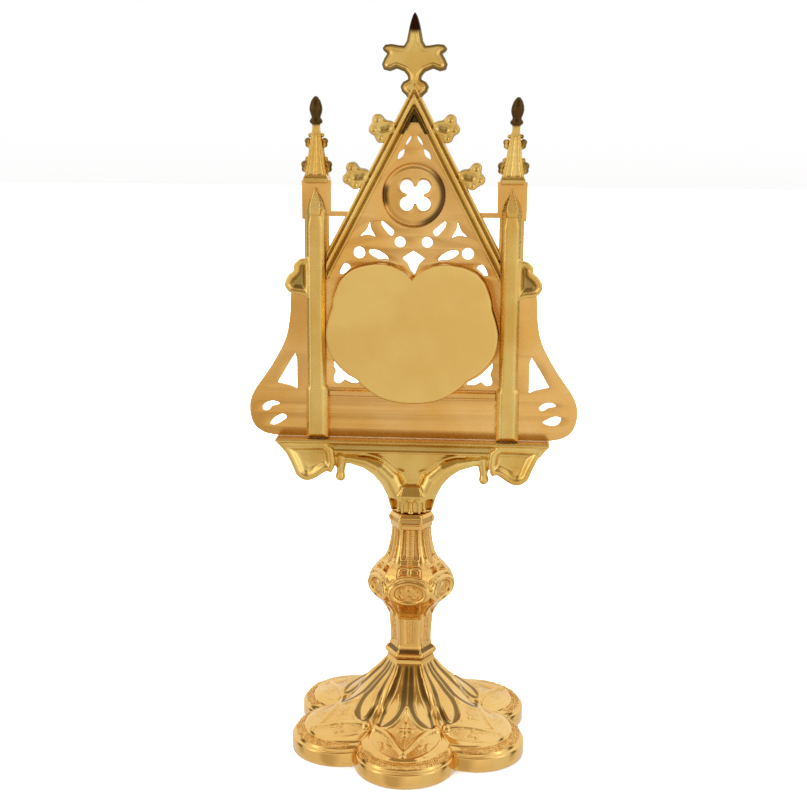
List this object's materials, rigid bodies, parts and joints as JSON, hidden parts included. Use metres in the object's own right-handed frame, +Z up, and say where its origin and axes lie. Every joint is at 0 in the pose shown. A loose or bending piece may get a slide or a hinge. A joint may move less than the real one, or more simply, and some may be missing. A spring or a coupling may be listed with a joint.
{
  "type": "reliquary",
  "caption": "Standing gothic reliquary in gold-plated cast brass: lobed foot, hexagonal stem with knop, and a gabled openwork shrine around a lobed glazed capsule with a lift-off lid.",
  "frame": {"origin": "on the stem's axis at the underside of the foot, the middle of the bottom of the bounding box", "axes": "+Z up along the stem, +Y out of the front where the capsule's window is, -Y out of the back where its lid is, +X to the right for someone facing the back"},
  "size_m": [0.1442, 0.1134, 0.32],
  "materials": {
    "pale_gold": "polished gold plate on cast brass",
    "cast_gold": "gold plate on grainy sand-cast brass",
    "sheet_gold": "brushed gold plate on flat brass",
    "lid_gold": "smooth satin gold plate",
    "clear_glass": "clear flat glass"
  },
  "bodies": {
    "root": {"foot": "pale_gold", "stem": "pale_gold", "bracket": "cast_gold", "tracery_plate": "sheet_gold", "right_back_buttress": "cast_gold", "left_back_buttress": "cast_gold", "right_front_turret": "cast_gold", "left_front_turret": "cast_gold", "gable": "cast_gold", "capsule_case": "cast_gold", "capsule_lid": "lid_gold", "window_glass": "clear_glass", "window_bezel": "cast_gold"}
  },
  "joints": []
}
